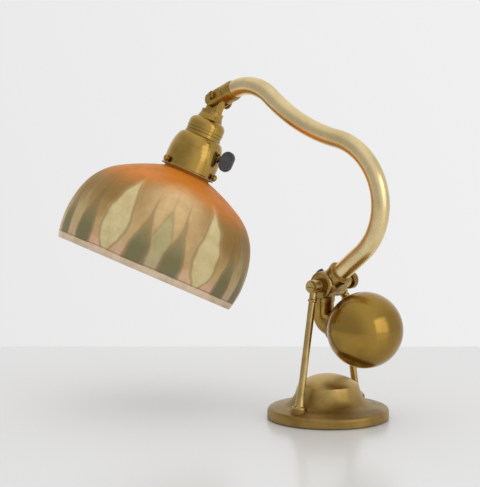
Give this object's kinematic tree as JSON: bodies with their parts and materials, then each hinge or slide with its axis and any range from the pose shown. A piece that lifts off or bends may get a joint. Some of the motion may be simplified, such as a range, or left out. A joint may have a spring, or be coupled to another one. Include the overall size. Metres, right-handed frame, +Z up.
{
  "type": "counterbalanced desk lamp",
  "caption": "Brass desk lamp with a swan-neck arm that tilts in a slender stand, a heavy ball counterweight, and a domed glass shade on a swivelling lampholder.",
  "frame": {"origin": "middle of the underside of the felt under the base", "axes": "+Z up; the arm lies in the XZ plane with the shade towards -X and the ball towards +X; the tilt axis is along Y"},
  "size_m": [0.3724, 0.2283, 0.3486],
  "materials": {
    "brass": "old polished brass",
    "iron": "rough",
    "felt": "felt",
    "steel": "plain",
    "fibre": "dull",
    "black_fibre": "matte",
    "brass_core": "rough cast",
    "card": "plain",
    "porcelain": "glazed",
    "thin_brass": "bright",
    "dark_grip": "worn",
    "shade_glass": "opal and amber",
    "bulb_glass": "clear",
    "bulb_inner": "clear"
  },
  "bodies": {
    "base": {"base_shell": "brass", "base_weight": "iron", "felt_pad": "felt", "leg_near": "brass", "leg_far": "brass", "leg_nuts": "steel", "pivot_screw": "brass", "pivot_stud": "brass", "friction_washers": "fibre"},
    "knob": {"tension_knob": "brass"},
    "arm": {"pivot_hub": "brass", "cord_bushing": "black_fibre", "set_screws": "steel", "arm_tube": "brass", "ball_stem": "brass", "ball_collar": "brass", "ball_skin": "brass", "ball_core": "brass_core", "arm_ferrule": "brass"},
    "swivel": {"swivel_fork": "brass", "knuckle_pin": "brass"},
    "nut": {"knuckle_nut": "brass"},
    "head": {"knuckle_tongue": "brass", "holder_cap": "brass", "holder_shell": "brass", "holder_liner": "card", "switch_body": "porcelain", "thread_shell": "thin_brass", "centre_contact": "thin_brass", "key_bushing": "brass", "shade_holder": "brass", "holder_screws": "brass", "glass_shade": "shade_glass", "bulb_cap": "thin_brass", "bulb_glass": "bulb_glass", "bulb_stem": "bulb_inner"},
    "key": {"switch_key": "dark_grip"}
  },
  "joints": [
    {"name": "arm_tilt", "type": "hinge", "parent": "base", "child": "arm", "pos_m": [0, 0, 0.14], "axis": [0, 1, 0], "range_deg": [-20, 15]},
    {"name": "head_swivel", "type": "hinge", "parent": "arm", "child": "swivel", "pos_m": [-0.133, 0, 0.33138], "axis": [-0.8988, 0, -0.4384], "range_deg": [-80, 30]},
    {"name": "head_tilt", "type": "hinge", "parent": "swivel", "child": "head", "pos_m": [-0.14917, 0, 0.32349], "axis": [0.199, 0.891, -0.408], "range_deg": [-33, 28]},
    {"name": "key_turn", "type": "hinge", "parent": "head", "child": "key", "pos_m": [-0.13301, -0.01624, 0.26139], "axis": [0.9398, 0.1855, -0.2871], "continuous": true},
    {"name": "tension_turn", "type": "hinge", "parent": "base", "child": "knob", "pos_m": [0, 0.0343, 0.14], "axis": [0, 1, 0], "continuous": true},
    {"name": "nut_turn", "type": "hinge", "parent": "swivel", "child": "nut", "pos_m": [-0.14663, 0.01141, 0.31827], "axis": [0.199, 0.891, -0.408], "continuous": true}
  ]
}
